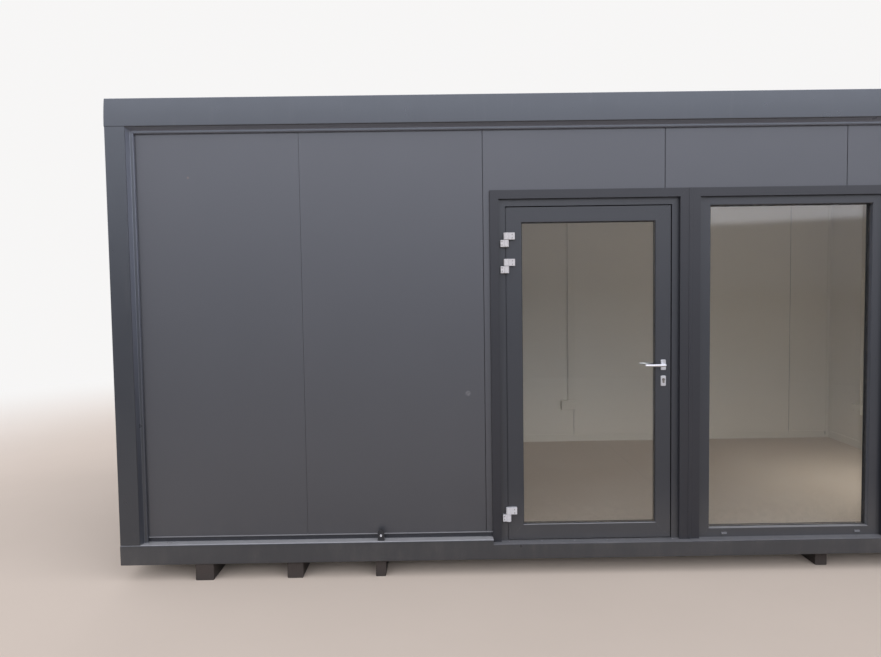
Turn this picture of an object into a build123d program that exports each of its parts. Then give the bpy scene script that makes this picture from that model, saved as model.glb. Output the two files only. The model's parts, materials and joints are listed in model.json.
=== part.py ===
from build123d import *
import os

# Portable site cabin: a welded steel frame of cold-rolled profiles, sandwich wall panels set back
# in it, and a glazed aluminium door beside a full-height window in the front wall.
# Millimetres. X runs along the cabin, the front faces -Y, Z is up. The origin is at the centre of
# the cabin's plan, at the underside of the timber blocks that it stands on.

# Overall sizes of the steel frame, and the blocks under it
cabin_length = 6058.0
cabin_width = 2990.0
frame_height = 2800.0
block_height = 100.0

# Steel frame profiles
rail_depth = 120.0
base_rail_height = 90.0
base_channel_height = 34.0
tube_wall = 4.0
tube_radius = 6.0
post_face = 120.0
roof_rail_face = 166.0
roof_rail_lean = 5.0
lip_slope_width = 14.0
lip_slope_depth = 40.0
lip_band = 19.0
roof_rim_width = 60.0
gutter_drop = 50.0

# Wall panels
wall_recess = 60.0
wall_thickness = 60.0
panel_module = 1100.0
front_joint_start = 1130.0
least_end_panel = 300.0
end_joint_offset = 550.0
joint_gap = 4.0
tight_joint_gap = 1.5
tongue_length = 11.0
tongue_thickness = 16.0
tongue_play = 0.3

# Drip flashing at the foot of the walls
drip_height = 33.0
drip_setback = 6.0
drip_overhang = 9.0
drip_sheet = 3.5
drip_fall = 3.5

# Floor and ceiling
joist_width = 60.0
joist_base = 42.0
joist_brim = 12.0
joist_pitch = 560.0
joist_sheet = 3.0
joist_lift = 8.0
under_sheet = 2.0
deck_thickness = 22.0
covering_thickness = 3.0
ceiling_thickness = 60.0
ceiling_joint = 3.0
roof_sheet_thickness = 3.0
seam_pitch = 600.0
seam_height = 28.0
seam_width = 12.0
roof_edge_gap = 8.0

# Openings in the front wall, measured from the cabin's left end
trim_width = 52.0
trim_proud = 16.0
trim_sheet = 2.0
trim_overlap = 16.0
trim_top = 2240.0
door_trim_left = 2270.0
door_clear_width = 1011.0
door_clear_head = 2146.0
door_frame_visible = 42.5
cover_strip_width = 18.0
cover_strip_proud = 3.0
window_clear_width = 986.0
window_frame_visible = 71.0
window_rail_height = 56.0
window_head_height = 52.0
frame_setback = 10.0
frame_depth = 50.0
mitre_gap = 0.2

# Threshold and window sill plates on the base rail
threshold_thickness = 4.0
sill_thickness = 5.0
nosing_radius = 2.4

# Door leaf
door_gap = 7.0
leaf_depth = 45.0
leaf_bar = 92.0
bar_edge = 3.0
glazing_setback = 14.0
rebate_depth = 20.0
nib_cover = 15.0
glass_thickness = 24.0
pane_thickness = 4.0
bead_width = 16.0
bead_taper = 4.0
window_glazing_setback = 35.0
glass_play = 0.3
casing_width = 85.0
casing_thickness = 7.0
casing_overlap = 12.0
window_casing_cover = 20.0

# Flag hinges, heights of the split between the two blocks above the frame's underside
hinge_splits = (1943.5, 1785.5, 262.0)
hinge_block_height = 42.0
hinge_split_gap = 2.0
hinge_barrel_radius = 16.0
hinge_running_gap = 0.5
hinge_frame_flag = 35.0
hinge_leaf_flag = 52.0
hinge_flag_thickness = 24.0
hinge_flag_corner = 3.0
hinge_end_chamfer = 1.5
hinge_pin_radius = 5.0
hinge_pin_reach = 34.0

# Lever handle and lock
lever_height = 1171.0
lever_stile_inset = 45.0
lever_length = 120.0
lever_standoff = 39.0
lever_neck_radius = 9.0
lever_tip_height = 15.0
lever_tip_thickness = 9.0
lever_tip_rounding = 2.4
neck_face_gap = 1.0
spindle_size = 8.0
spindle_hole_radius = 7.0
plate_width = 31.0
plate_height = 64.0
plate_thickness = 9.0
plate_corner = 6.0
plate_chamfer = 2.0
neck_play = 0.6
cylinder_drop = 98.0
cylinder_radius = 8.5
cylinder_body_half = 5.0
cylinder_body_drop = 17.0
cylinder_proud = 4.0
escutcheon_hole_play = 0.3

# Drain caps in the window's lower rail
drain_inset_left = 93.0
drain_inset_right = 66.0
drain_cap_height = 22.0
drain_cap_width = 34.0
drain_cap_size = 14.0
drain_cap_proud = 7.0
drain_cap_lip = 2.5

# Services inside
trunking_width = 70.0
trunking_depth = 25.0
trunking_centre = 3303.0
socket_offset = 29.0
socket_width = 150.0
socket_height = 92.0
socket_depth = 45.0
socket_base = 330.0
socket_edge_radius = 4.0
end_trunking_inset = 520.0
skirting_panel_cover = 8.0
skirting_thickness = 10.0
fitting_play = 0.3

# Earthing lug on the ledge
lug_centre = 1583.0
lug_width = 42.0
lug_height = 68.0
lug_thickness = 8.0
lug_foot = 30.0
lug_sole = 4.0
lug_setback = 14.0
lug_bolt_height = 33.0
lug_bolt_radius = 7.5
lug_bolt_head = 6.0

# Timber blocks: centre, width and setback from the rail's face, alike under front and rear rails
end_block_inset = 506.0
blocks = (
    (end_block_inset, 110.0, 6.0),
    (1055.0, 96.0, 18.0),
    (1578.0, 62.0, 22.0),
    (4316.0, 72.0, 80.0),
    (cabin_length - end_block_inset, 110.0, 6.0),
)
block_length = 230.0
block_chamfer = 4.0

# Worked out from the sizes above
left_end = -cabin_length / 2
front_face = -cabin_width / 2
frame_foot = block_height
frame_top = frame_foot + frame_height
lip_width = lip_slope_width + lip_band
post_width = post_face + lip_width
channel_top = base_rail_height + base_channel_height
panel_foot = channel_top + drip_height
panel_head = frame_height - roof_rail_face - lip_width
wall_inside = wall_recess + wall_thickness
setting_plane = wall_recess + frame_setback
frame_back = setting_plane + frame_depth
window_frame_depth = window_glazing_setback + glass_thickness + 2 * glass_play
window_frame_back = setting_plane + window_frame_depth

door_frame_left = door_trim_left + trim_width - trim_overlap
door_bar = door_frame_visible + trim_overlap
door_clear_left = door_frame_left + door_bar
door_clear_right = door_clear_left + door_clear_width
door_frame_right = door_clear_right + door_bar
door_trim_right = door_frame_right - trim_overlap + trim_width
frame_head = trim_top - trim_width + trim_overlap
window_trim_left = door_trim_right + cover_strip_width
window_frame_left = window_trim_left + trim_width - trim_overlap
window_bar = window_frame_visible + trim_overlap
window_clear_left = window_frame_left + window_bar
window_clear_right = window_clear_left + window_clear_width
window_frame_right = window_clear_right + window_bar
window_trim_right = window_frame_right - trim_overlap + trim_width
window_clear_head = trim_top - trim_width - window_head_height
threshold_top = base_rail_height + threshold_thickness
sill_top = base_rail_height + sill_thickness
floor_level = sill_top
deck_foot = floor_level - covering_thickness - deck_thickness
joist_height = deck_foot - under_sheet - joist_lift

leaf_left = door_clear_left + door_gap
leaf_right = door_clear_right - door_gap
leaf_foot = threshold_top + door_gap
leaf_head = door_clear_head - door_gap
leaf_back = setting_plane + leaf_depth
hinge_axis_x = door_clear_left + door_gap / 2
hinge_axis_depth = setting_plane - hinge_running_gap - hinge_barrel_radius
lever_x = leaf_right - lever_stile_inset


# Places in the shared frame, from distances on the cabin itself
def at_x(from_left):
    return left_end + from_left


def at_y(from_front):
    return front_face + from_front


def at_z(above_foot):
    return frame_foot + above_foot


def box(x_range, y_range, z_range):
    """Box between distances from the left end, the front face and the frame's underside."""
    (x0, x1), (y0, y1), (z0, z1) = x_range, y_range, z_range
    middle = (at_x((x0 + x1) / 2), at_y((y0 + y1) / 2), at_z((z0 + z1) / 2))
    return Pos(*middle) * Box(x1 - x0, y1 - y0, z1 - z0)


def outline(points):
    return make_face(Polyline(*points, close=True))


def rolled(flat, sharp_corner=None):
    """Closed hollow profile with rounded bends, as rolled from sheet."""
    bends = [
        corner
        for corner in flat.vertices()
        if sharp_corner is None or (corner.center() - Vector(*sharp_corner)).length > tube_radius
    ]
    outer = fillet(bends, tube_radius)
    return outer - offset(outer, amount=-tube_wall)


def along_x(section, x0, x1):
    """Section drawn as (Y, Z), run from x0 to x1."""
    return extrude(Plane.YZ.offset(x0) * section, amount=x1 - x0)


def along_y(section, y0, y1):
    """Section drawn as (X, Z), run from y0 to y1."""
    return extrude(Plane.XZ.offset(-y1) * section, amount=y1 - y0)


def along_z(section, z0, z1):
    """Section drawn as (X, Y), run from z0 to z1."""
    return extrude(Plane.XY.offset(z0) * section, amount=z1 - z0)


def turn_to_side(part, side):
    """Turn a piece made for the front side to another side of the cabin's plan."""
    turns = {"front": 0, "right": 90, "rear": 180, "left": 270}
    return Rot(0, 0, turns[side]) * part


def side_length(side):
    return cabin_length if side in ("front", "rear") else cabin_width


def side_reach(side):
    """Distance from the cabin's centre to that side's outer face."""
    return cabin_width / 2 if side in ("front", "rear") else cabin_length / 2


def plan_mitre(side, depth):
    """Prism that cuts a member of that side at 45 degrees in plan where it meets its neighbours."""
    half = side_length(side) / 2
    face = -side_reach(side)
    points = ((-half, face), (half, face), (half - depth, face + depth), (depth - half, face + depth))
    return along_z(outline(points), 0, frame_top)


def side_member(side, section, depth):
    """Member along one side of the plan. The section is drawn as (depth from the face, Z)."""
    half = side_length(side) / 2
    placed = Pos(-side_reach(side), 0) * section
    return along_x(placed, -half, half) & plan_mitre(side, depth)


def base_tube(foot, head, sharp_height):
    """Section of a rail or of the tube welded on it, which share one flush front face."""
    flat = outline(((0, foot), (rail_depth, foot), (rail_depth, head), (0, head)))
    return rolled(flat, (0, sharp_height))


def base_rail(side):
    section = base_tube(at_z(0), at_z(base_rail_height), at_z(base_rail_height))
    return turn_to_side(side_member(side, section, rail_depth), side)


def channel_between(side, start, end):
    """Length of the rectangular tube that carries the wall, between distances along the side."""
    half = side_length(side) / 2
    section = base_tube(at_z(base_rail_height), at_z(channel_top), at_z(base_rail_height))
    member = side_member(side, section, rail_depth)
    reach = Box(end - start, 4 * rail_depth, frame_top)
    return member & Pos((start + end) / 2 - half, -side_reach(side), frame_top / 2) * reach


def base_channels():
    front = [
        channel_between("front", 0, door_trim_left),
        channel_between("front", window_trim_right, cabin_length),
    ]
    others = [
        turn_to_side(channel_between(side, mitre_gap, side_length(side) - mitre_gap), side)
        for side in ("right", "rear", "left")
    ]
    return front + others


def roof_rail(side):
    """Rail with a rim round the roof sheet; its face leans back in a shallow arc to its top."""
    top = frame_top
    shoulder = top - roof_rail_face
    back = Polyline(
        (roof_rail_lean, top),
        (roof_rim_width, top),
        (roof_rim_width, top - gutter_drop),
        (rail_depth, top - gutter_drop),
        (rail_depth, at_z(panel_head)),
        (lip_slope_depth, at_z(panel_head)),
        (lip_slope_depth, at_z(panel_head) + lip_band),
        (0, shoulder),
    )
    face = TangentArc((0, shoulder), (roof_rail_lean, top), tangent=(0, 1))
    section = rolled(make_face([back, face]))
    member = side_member(side, section, rail_depth)
    half = side_length(side) / 2
    mitre = outline(
        (
            (-half, top),
            (half, top),
            (half, shoulder),
            (half - post_face, shoulder),
            (half - post_width, at_z(panel_head)),
            (post_width - half, at_z(panel_head)),
            (post_face - half, shoulder),
            (-half, shoulder),
        )
    )
    reach = side_reach(side)
    return turn_to_side(member & along_y(mitre, -reach, rail_depth - reach), side)


def corner_post(mirror_x, mirror_y):
    """L-shaped post with the stepped lip on both faces, mitred into the roof rails' lips."""
    slope = post_face + lip_slope_width
    points = (
        (0, 0),
        (post_face, 0),
        (slope, lip_slope_depth),
        (post_width, lip_slope_depth),
        (post_width, rail_depth),
        (rail_depth, rail_depth),
        (rail_depth, post_width),
        (lip_slope_depth, post_width),
        (lip_slope_depth, slope),
        (0, post_face),
    )
    foot = at_z(channel_top)
    shoulder = frame_top - roof_rail_face
    post = along_z(rolled(outline(points), (rail_depth, rail_depth)), foot, shoulder)
    wedge = outline(
        ((post_face, shoulder), (post_width, shoulder), (post_width, shoulder - lip_width))
    )
    post -= along_y(wedge, 0, post_width)
    post -= along_x(wedge, 0, post_width)
    post = Pos(left_end, front_face, 0) * post
    if mirror_x:
        post = mirror(post, about=Plane.YZ)
    if mirror_y:
        post = mirror(post, about=Plane.XZ)
    return post


def panel(side, start, end, foot, head, start_gap, end_gap):
    """Sandwich panel with a groove at its start joint and a tongue at its end joint.

    The gaps are the joints' widths, or 0 where the panel ends square against something else.
    """
    outer = -side_reach(side) + wall_recess
    inner = outer + wall_thickness
    middle = (outer + inner) / 2
    tongue = tongue_thickness / 2
    groove = tongue + tongue_play
    origin = -side_length(side) / 2
    left = origin + start + start_gap / 2
    right = origin + end - end_gap / 2
    points = [(left, outer), (right, outer)]
    if end_gap:
        tip = right + tongue_length
        points += [(right, middle - tongue), (tip, middle - tongue)]
        points += [(tip, middle + tongue), (right, middle + tongue)]
    points += [(right, inner), (left, inner)]
    if start_gap:
        pocket = left - start_gap + tongue_length + tongue_play
        points += [(left, middle + groove), (pocket, middle + groove)]
        points += [(pocket, middle - groove), (left, middle - groove)]
    return along_z(outline(points), at_z(foot), at_z(head))


def panel_run(side, start, end, joints, foot, head):
    """Row of panels between two square ends, split at the joints (place, gap) between them."""
    inner = [(place, gap) for place, gap in joints if start < place < end]
    stops = [(start, 0)] + inner + [(end, 0)]
    return [
        turn_to_side(panel(side, left, right, foot, head, left_gap, right_gap), side)
        for (left, left_gap), (right, right_gap) in zip(stops, stops[1:])
    ]


def module_joints():
    """Joint positions along the front and rear walls, from the cabin's left end."""
    last_place = cabin_length - post_width - least_end_panel
    count = int((last_place - front_joint_start) // panel_module) + 1
    return [front_joint_start + index * panel_module for index in range(count)]


def front_joints():
    """Joints of the front wall; the first panel is pulled up tight to the second."""
    places = module_joints()
    return [(places[0], tight_joint_gap)] + [(place, joint_gap) for place in places[1:]]


def front_wall_left():
    """Left of the door, where the last panel's edge runs down behind the trim to the threshold."""
    row = panel_run("front", post_width, door_frame_left, front_joints(), panel_foot, panel_head)
    wall = (wall_recess, wall_inside)
    row[-1] += box((door_trim_left, door_frame_left), wall, (threshold_top, panel_foot))
    return row


def front_wall_over_openings():
    return panel_run(
        "front", door_frame_left, window_frame_right, front_joints(), frame_head, panel_head
    )


def front_wall_right():
    """Right of the window, where the first panel's edge runs down behind the trim to the sill."""
    far = cabin_length - post_width
    row = panel_run("front", window_frame_right, far, front_joints(), panel_foot, panel_head)
    wall = (wall_recess, wall_inside)
    row[0] += box((window_frame_right, window_trim_right), wall, (sill_top, panel_foot))
    return row


def front_wall_mullion():
    return box(
        (door_frame_right, window_frame_left),
        (wall_recess, wall_inside),
        (sill_top, frame_head),
    )


def rear_wall_panels():
    joints = [(cabin_length - place, joint_gap) for place in reversed(module_joints())]
    return panel_run(
        "rear", post_width, cabin_length - post_width, joints, panel_foot, panel_head
    )


def end_wall_panels(side):
    middle = cabin_width / 2
    joints = [(middle + offset, joint_gap) for offset in (-end_joint_offset, end_joint_offset)]
    return panel_run(side, post_width, cabin_width - post_width, joints, panel_foot, panel_head)


def drip_flashing(side, start, end):
    """Strip under the panels with a small sloping lip that throws water off the ledge."""
    outer = -side_reach(side) + wall_recess
    face = outer + drip_setback
    lip = outer - drip_overhang
    top = at_z(panel_foot)
    points = (
        (outer + wall_thickness, at_z(channel_top)),
        (face, at_z(channel_top)),
        (face, top - drip_sheet - drip_fall / 2),
        (lip, top - drip_sheet - drip_fall),
        (lip, top - drip_fall),
        (outer, top),
        (outer + wall_thickness, top),
    )
    origin = -side_length(side) / 2
    return turn_to_side(along_x(outline(points), origin + start, origin + end), side)


def base_drip_flashings():
    pieces = [
        drip_flashing("front", post_width, door_trim_left),
        drip_flashing("front", window_trim_right, cabin_length - post_width),
    ]
    for side in ("right", "rear", "left"):
        pieces.append(drip_flashing(side, post_width, side_length(side) - post_width))
    return pieces


def roof_sheet():
    """Standing-seam sheet lying in the rim of the roof rails."""
    half_x = cabin_length / 2 - roof_rim_width - roof_edge_gap
    half_y = cabin_width / 2 - roof_rim_width - roof_edge_gap
    base = frame_top - gutter_drop
    top = base + roof_sheet_thickness
    points = [(-half_x, base), (half_x, base), (half_x, top)]
    count = int(2 * half_x // seam_pitch)
    for index in range(count, -1, -1):
        seam = (index - count / 2) * seam_pitch
        points += [
            (seam + seam_width / 2, top),
            (seam + seam_width / 4, top + seam_height),
            (seam - seam_width / 4, top + seam_height),
            (seam - seam_width / 2, top),
        ]
    points.append((-half_x, top))
    return along_y(outline(points), -half_y, half_y)


def ceiling_panels():
    """Ceiling of sandwich panels on the same module as the walls."""
    inside = (wall_inside, cabin_width - wall_inside)
    stops = [wall_inside] + module_joints() + [cabin_length - wall_inside]
    gap = ceiling_joint / 2
    return [
        box(
            (stops[i] + (gap if i else 0), stops[i + 1] - (gap if i < len(stops) - 2 else 0)),
            inside,
            (panel_head, panel_head + ceiling_thickness),
        )
        for i in range(len(stops) - 1)
    ]


def floor_joists():
    """Cold-rolled top-hat joists between the front and rear base rails."""
    count = int((cabin_length - 2 * rail_depth) // joist_pitch)
    half = joist_width / 2
    foot = at_z(joist_lift)
    head = foot + joist_height
    half_base = joist_base / 2
    pieces = []
    for index in range(count):
        centre = (index - (count - 1) / 2) * joist_pitch
        points = (
            (centre - half - joist_brim, head),
            (centre - half - joist_brim, head - joist_sheet),
            (centre - half, head - joist_sheet),
            (centre - half_base, foot),
            (centre + half_base, foot),
            (centre + half, head - joist_sheet),
            (centre + half + joist_brim, head - joist_sheet),
            (centre + half + joist_brim, head),
        )
        reach = cabin_width / 2 - rail_depth
        pieces.append(along_y(outline(points), -reach, reach))
    return pieces


def floor_layer(foot, thickness):
    inside_x = (rail_depth, cabin_length - rail_depth)
    inside_y = (rail_depth, cabin_width - rail_depth)
    return box(inside_x, inside_y, (foot, foot + thickness))


def underfloor_sheet():
    return floor_layer(deck_foot - under_sheet, under_sheet)


def floor_deck():
    return floor_layer(deck_foot, deck_thickness)


def floor_covering():
    return floor_layer(floor_level - covering_thickness, covering_thickness)


def ring_bar(side, x_range, z_range, section_points, has_foot):
    """One mitred bar of a rectangular surround in the front wall.

    Section points are (distance in from the surround's outer edge, depth from the front face).
    Without a bottom bar the two upright bars end square at the foot.
    """
    (x0, x1), (z0, z1) = x_range, z_range
    width = max(inward for inward, _ in section_points)
    gap = mitre_gap / 2
    foot_cut = width if has_foot else 0
    foot_gap = gap if has_foot else 0
    if side in ("left", "right"):
        edge, sign = (x0, 1) if side == "left" else (x1, -1)
        section = outline([(at_x(edge + sign * a), at_y(depth)) for a, depth in section_points])
        bar = along_z(section, at_z(z0), at_z(z1))
        shape = (
            (edge, z0 + foot_gap),
            (edge, z1 - gap),
            (edge + sign * width, z1 - width - gap),
            (edge + sign * width, z0 + foot_cut + foot_gap),
        )
    else:
        edge, sign = (z1, -1) if side == "top" else (z0, 1)
        section = outline([(at_y(depth), at_z(edge + sign * a)) for a, depth in section_points])
        bar = along_x(section, at_x(x0), at_x(x1))
        shape = (
            (x0 + gap, edge),
            (x1 - gap, edge),
            (x1 - width - gap, edge + sign * width),
            (x0 + width + gap, edge + sign * width),
        )
    window = outline([(at_x(x), at_z(z)) for x, z in shape])
    depths = [depth for _, depth in section_points]
    return bar & along_y(window, at_y(min(depths)), at_y(max(depths)))


def surround(x_range, z_range, section_points, has_foot):
    sides = ["left", "right", "top"] + (["bottom"] if has_foot else [])
    return [ring_bar(side, x_range, z_range, section_points, has_foot) for side in sides]


def trim_section():
    """Folded flashing: outer leg to the wall, flat face, inner leg back to the frame."""
    face = wall_recess - trim_proud
    return (
        (0, wall_recess),
        (0, face),
        (trim_width, face),
        (trim_width, setting_plane),
        (trim_width - trim_sheet, setting_plane),
        (trim_width - trim_sheet, face + trim_sheet),
        (trim_sheet, face + trim_sheet),
        (trim_sheet, wall_recess),
    )


def door_trim():
    return surround(
        (door_trim_left, door_trim_right), (threshold_top, trim_top), trim_section(), False
    )


def window_trim():
    return surround(
        (window_trim_left, window_trim_right), (sill_top, trim_top), trim_section(), False
    )


def trim_cover_strip():
    """Rounded strip that closes the joint between the two trims."""
    face = wall_recess - trim_proud - cover_strip_proud
    strip = box(
        (door_trim_right, window_trim_left), (face, wall_recess), (sill_top, trim_top)
    )
    front_edges = strip.edges().filter_by(Axis.Z).sort_by(Axis.Y)[:2]
    return fillet(front_edges, cover_strip_proud)


def door_frame():
    section = (
        (0, setting_plane),
        (door_bar, setting_plane),
        (door_bar, frame_back),
        (0, frame_back),
    )
    return surround(
        (door_frame_left, door_frame_right), (threshold_top, frame_head), section, False
    )


def rail_plate(x_range, top):
    """Plate across the base rail under an opening, with a rounded front nosing."""
    plate = box(x_range, (0, rail_depth), (base_rail_height, top))
    nosing = plate.edges().filter_by(Axis.X).sort_by(Axis.Z)[-2:].sort_by(Axis.Y)[:1]
    return fillet(nosing, nosing_radius)


def plate_split():
    """Where the threshold ends and the window's sill plate starts, under the cover strip."""
    return door_trim_right + cover_strip_width / 2


def door_threshold():
    return rail_plate((door_trim_left, plate_split()), threshold_top)


def window_sill_plate():
    return rail_plate((plate_split(), window_trim_right), sill_top)


def glazed_section(bar_width, setback, depth):
    """Aluminium bar with a rebate for the glass behind its outer nib."""
    glass_face = setting_plane + setback
    return (
        (0, setting_plane),
        (bar_width - bar_edge, setting_plane),
        (bar_width, setting_plane + bar_edge),
        (bar_width, glass_face),
        (bar_width - rebate_depth, glass_face),
        (bar_width - rebate_depth, setting_plane + depth),
        (0, setting_plane + depth),
    )


def window_range():
    """Outer edges of the window frame before its head and foot are cut down to the opening."""
    foot = sill_top + window_rail_height - window_bar
    return (window_frame_left, window_frame_right), (foot, window_clear_head + window_bar)


def window_frame():
    x_range, z_range = window_range()
    section = glazed_section(window_bar, window_glazing_setback, window_frame_depth)
    opening = box(x_range, (setting_plane, window_frame_back), (sill_top, frame_head))
    return [bar & opening for bar in surround(x_range, z_range, section, True)]


def double_glazing(x_range, z_range, bar_width, setback):
    """Outer and inner pane of a sealed unit, held in the rebate by its bars."""
    inset = bar_width - nib_cover
    face = setting_plane + setback + glass_play
    return [
        box(
            (x_range[0] + inset, x_range[1] - inset),
            (near, near + pane_thickness),
            (z_range[0] + inset, z_range[1] - inset),
        )
        for near in (face, face + glass_thickness - pane_thickness)
    ]


def window_glass():
    x_range, z_range = window_range()
    return double_glazing(x_range, z_range, window_bar, window_glazing_setback)


def window_drain_caps():
    """Small hooded caps over the drain slots of the window's lower rail."""
    foot = sill_top + drain_cap_height - drain_cap_size / 2
    head = foot + drain_cap_size
    lip = setting_plane - drain_cap_proud
    hood = outline(
        (
            (at_y(setting_plane), at_z(foot)),
            (at_y(lip), at_z(foot)),
            (at_y(lip), at_z(foot + drain_cap_lip)),
            (at_y(setting_plane - drain_cap_lip), at_z(head)),
            (at_y(setting_plane), at_z(head)),
        )
    )
    half = drain_cap_width / 2
    centres = (window_clear_left + drain_inset_left, window_clear_right - drain_inset_right)
    return [along_x(hood, at_x(centre - half), at_x(centre + half)) for centre in centres]


def door_casing_outset():
    """How far the door's casing reaches over the wall, past the outer edge of the frame."""
    return casing_width - casing_overlap - door_gap - door_bar


def door_stop_casing():
    """Flat inner casing over the frame's joint with the wall, which also stops the leaf."""
    section = (
        (0, frame_back),
        (casing_width, frame_back),
        (casing_width, frame_back + casing_thickness),
        (0, frame_back + casing_thickness),
    )
    outset = door_casing_outset()
    x_range = (door_frame_left - outset, door_frame_right + outset)
    return surround(x_range, (floor_level, frame_head + outset), section, False)


def window_inner_casing():
    """Casing that holds the glass, with a leg back to the wall beside the deeper frame."""
    face = window_frame_back + casing_thickness
    section = (
        (0, wall_inside),
        (window_casing_cover - glass_play, wall_inside),
        (window_casing_cover - glass_play, window_frame_back),
        (window_casing_cover + window_bar, window_frame_back),
        (window_casing_cover + window_bar, face),
        (0, face),
    )
    x_range = (window_frame_left - window_casing_cover, window_frame_right + window_casing_cover)
    z_range = (floor_level, window_clear_head + window_bar + window_casing_cover)
    return surround(x_range, z_range, section, False)


def leaf_range():
    return (leaf_left, leaf_right), (leaf_foot, leaf_head)


def door_leaf():
    x_range, z_range = leaf_range()
    bars = surround(x_range, z_range, glazed_section(leaf_bar, glazing_setback, leaf_depth), True)
    hole = Cylinder(spindle_hole_radius, 4 * leaf_depth, rotation=(90, 0, 0))
    spindle_hole = Pos(at_x(lever_x), at_y(setting_plane), at_z(lever_height)) * hole
    return [bar - spindle_hole for bar in bars]


def door_glass():
    x_range, z_range = leaf_range()
    return double_glazing(x_range, z_range, leaf_bar, glazing_setback)


def door_glazing_beads():
    """Inner beads that hold the glass in the leaf."""
    x_range, z_range = leaf_range()
    outer = leaf_bar - rebate_depth + glass_play
    glass_back = setting_plane + glazing_setback + 2 * glass_play + glass_thickness
    section = (
        (0, glass_back),
        (bead_width, glass_back),
        (bead_width - bead_taper, leaf_back),
        (0, leaf_back),
    )
    x_inner = (x_range[0] + outer, x_range[1] - outer)
    z_inner = (z_range[0] + outer, z_range[1] - outer)
    return surround(x_inner, z_inner, section, True)


def hinge_block(split, on_leaf):
    """Half of a flag hinge: a barrel round the pin, and a flag screwed to leaf or frame."""
    gap = hinge_split_gap / 2
    foot = at_z(split) + gap if on_leaf else at_z(split) - gap - hinge_block_height
    reach = hinge_leaf_flag if on_leaf else hinge_frame_flag
    sign = 1 if on_leaf else -1
    axis = Pos(at_x(hinge_axis_x), at_y(hinge_axis_depth))
    seat = setting_plane - hinge_axis_depth
    flag = Pos(sign * reach / 2, seat - hinge_flag_thickness / 2) * Rectangle(
        reach, hinge_flag_thickness
    )
    outer_corner = flag.vertices().sort_by_distance((sign * reach, seat - hinge_flag_thickness))[0]
    shape = Circle(hinge_barrel_radius) + fillet(outer_corner, hinge_flag_corner)
    half = along_z(axis * shape, foot, foot + hinge_block_height)
    ends = half.faces().filter_by(Axis.Z)
    half = chamfer([edge for end in ends for edge in end.edges()], hinge_end_chamfer)
    if not on_leaf:
        return half
    bore = axis * Circle(hinge_pin_radius + neck_play)
    return half - along_z(bore, foot, foot + hinge_block_height)


def hinge_pin(split):
    """Fixed pin standing in the frame block and reaching up into the leaf block."""
    foot = at_z(split) - hinge_split_gap / 2
    place = Pos(at_x(hinge_axis_x), at_y(hinge_axis_depth))
    return along_z(place * Circle(hinge_pin_radius), foot, foot + hinge_pin_reach)


def hinge_frame_parts():
    return [hinge_block(split, False) + hinge_pin(split) for split in hinge_splits]


def hinge_leaf_parts():
    return [hinge_block(split, True) for split in hinge_splits]


def lock_plate(height, outside, hole):
    """Round-cornered plate on the stile, with a hole for what passes through it."""
    sign = -1 if outside else 1
    face = setting_plane if outside else leaf_back
    shape = RectangleRounded(plate_width, plate_height, plate_corner) - hole
    depths = sorted((face, face + sign * plate_thickness))
    place = Pos(at_x(lever_x), at_z(height))
    plate = along_y(place * shape, at_y(depths[0]), at_y(depths[1]))
    rim = plate.faces().sort_by(Axis.Y)[0 if outside else -1].outer_wire().edges()
    return chamfer(rim, plate_chamfer)


def cylinder_shape(play):
    """Outline of a profile cylinder: a round plug over a narrower round-ended body."""
    half = cylinder_body_half + play
    drop = cylinder_body_drop
    slot = Pos(0, -drop / 2) * Rectangle(2 * half, drop)
    return Circle(cylinder_radius + play) + slot + Pos(0, -drop) * Circle(half)


def cylinder_height():
    return lever_height - cylinder_drop


def door_lock_plates():
    neck_hole = Circle(lever_neck_radius + neck_play)
    lock_hole = Pos(0, cylinder_radius) * cylinder_shape(escutcheon_hole_play)
    pieces = []
    for outside in (True, False):
        pieces.append(lock_plate(lever_height, outside, neck_hole))
        pieces.append(lock_plate(cylinder_height(), outside, lock_hole))
    return pieces


def lock_cylinder():
    """Two ends of the profile cylinder, standing a little out of their plates."""
    place = Pos(at_x(lever_x), at_z(cylinder_height()) + cylinder_radius)
    reach = plate_thickness + cylinder_proud
    outer = (at_y(setting_plane - reach), at_y(setting_plane))
    inner = (at_y(leaf_back), at_y(leaf_back + reach))
    return [along_y(place * cylinder_shape(0), *span) for span in (outer, inner)]


def lever_half(outside):
    """Neck, rounded elbow and grip on one side of the leaf. The grip flattens towards its tip."""
    sign = -1 if outside else 1
    face = setting_plane if outside else leaf_back
    centre = face + sign * lever_standoff
    root = Plane.YZ * Circle(lever_neck_radius)
    oval = Ellipse(lever_tip_thickness / 2, lever_tip_height / 2)
    grip = loft([root, Plane.YZ.offset(-lever_length) * oval])
    grip = fillet(grip.edges().sort_by(Axis.X)[0], lever_tip_rounding)
    bend = Pos(at_x(lever_x), at_y(centre), at_z(lever_height)) * (Sphere(lever_neck_radius) + grip)
    near, far = sorted((face + sign * neck_face_gap, centre))
    place = Pos(at_x(lever_x), at_z(lever_height))
    return bend + along_y(place * Circle(lever_neck_radius), at_y(near), at_y(far))


def door_lever():
    """Both levers on one square spindle, which turns in the lock."""
    place = Pos(at_x(lever_x), at_z(lever_height))
    spindle = along_y(
        place * Rectangle(spindle_size, spindle_size),
        at_y(setting_plane - neck_face_gap),
        at_y(leaf_back + neck_face_gap),
    )
    return spindle + lever_half(True) + lever_half(False)


def service_runs():
    """Plan ranges of the rear trunking and the right-hand end trunking."""
    back = cabin_width - wall_inside - fitting_play
    right = cabin_length - wall_inside - fitting_play
    middle = cabin_width - wall_inside - end_trunking_inset
    half = trunking_width / 2
    rear_run = ((trunking_centre - half, trunking_centre + half), (back - trunking_depth, back))
    end_run = ((right - trunking_depth, right), (middle - half, middle + half))
    return rear_run, end_run


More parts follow.
